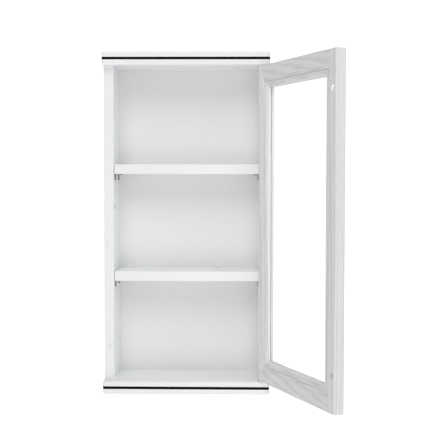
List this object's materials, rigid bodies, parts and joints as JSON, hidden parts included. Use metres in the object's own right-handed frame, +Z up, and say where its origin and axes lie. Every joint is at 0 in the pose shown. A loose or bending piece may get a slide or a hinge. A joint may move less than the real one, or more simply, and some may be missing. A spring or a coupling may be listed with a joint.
{
  "type": "wall cabinet with glass door",
  "caption": "Narrow hanging wall cabinet with a framed glass door on upright pivot pins, shelves inside and thick top and bottom boards with a dark inlay line.",
  "frame": {"origin": "on the wall plane, half way between the round entries of the two keyhole hangers", "axes": "+X to the right as seen from the front, +Y into the wall, +Z up"},
  "size_m": [0.4113, 0.3841, 0.6212],
  "materials": {
    "lacquered_board": "satin",
    "lacquered_panel": "satin",
    "lacquered_shelf": "satin",
    "black_inlay": "satin",
    "white_hardboard": "satin",
    "pine": "matte",
    "beech": "matte",
    "painted_frame": "satin",
    "painted_bead": "satin",
    "clear_glass": "polished",
    "zinc_plated_steel": "satin",
    "nickel_plated_steel": "satin",
    "nylon": "matte",
    "white_plastic": "satin",
    "ferrite_magnet": "matte",
    "clear_bumper": "satin"
  },
  "bodies": {
    "cabinet": {"top_board": "lacquered_board", "top_inlay_strip": "black_inlay", "bottom_board": "lacquered_board", "bottom_inlay_strip": "black_inlay", "left_side_panel": "lacquered_panel", "right_side_panel": "lacquered_panel", "back_panel": "white_hardboard", "upper_shelf": "lacquered_shelf", "lower_shelf": "lacquered_shelf", "upper_shelf_supports": "nickel_plated_steel", "lower_shelf_supports": "nickel_plated_steel", "hanging_rail": "pine", "lower_back_rail": "pine", "rail_dowels": "beech", "hanger_plates": "zinc_plated_steel", "hanger_screws": "zinc_plated_steel", "carcass_screws": "zinc_plated_steel", "carcass_dowels": "beech", "screw_cover_caps": "white_plastic", "upper_pivot_bush": "nylon", "lower_pivot_bush": "nylon", "catch_sleeve": "white_plastic", "catch_magnet": "ferrite_magnet"},
    "door": {"upper_pivot_pin": "nickel_plated_steel", "lower_pivot_pin": "nickel_plated_steel", "hinge_stile": "painted_frame", "free_stile": "painted_frame", "door_top_rail": "painted_frame", "door_bottom_rail": "painted_frame", "door_dowels": "beech", "glass_pane": "clear_glass", "top_glazing_bead": "painted_bead", "bottom_glazing_bead": "painted_bead", "hinge_side_glazing_bead": "painted_bead", "free_side_glazing_bead": "painted_bead", "bead_brads": "zinc_plated_steel", "strike_plate": "zinc_plated_steel", "strike_screw": "zinc_plated_steel", "door_bumper": "clear_bumper"}
  },
  "joints": [
    {"name": "door_pivot", "type": "hinge", "parent": "cabinet", "child": "door", "pos_m": [0.14, -0.115, -0.251], "axis": [0, 0, 1], "range_deg": [-113, 57]}
  ]
}
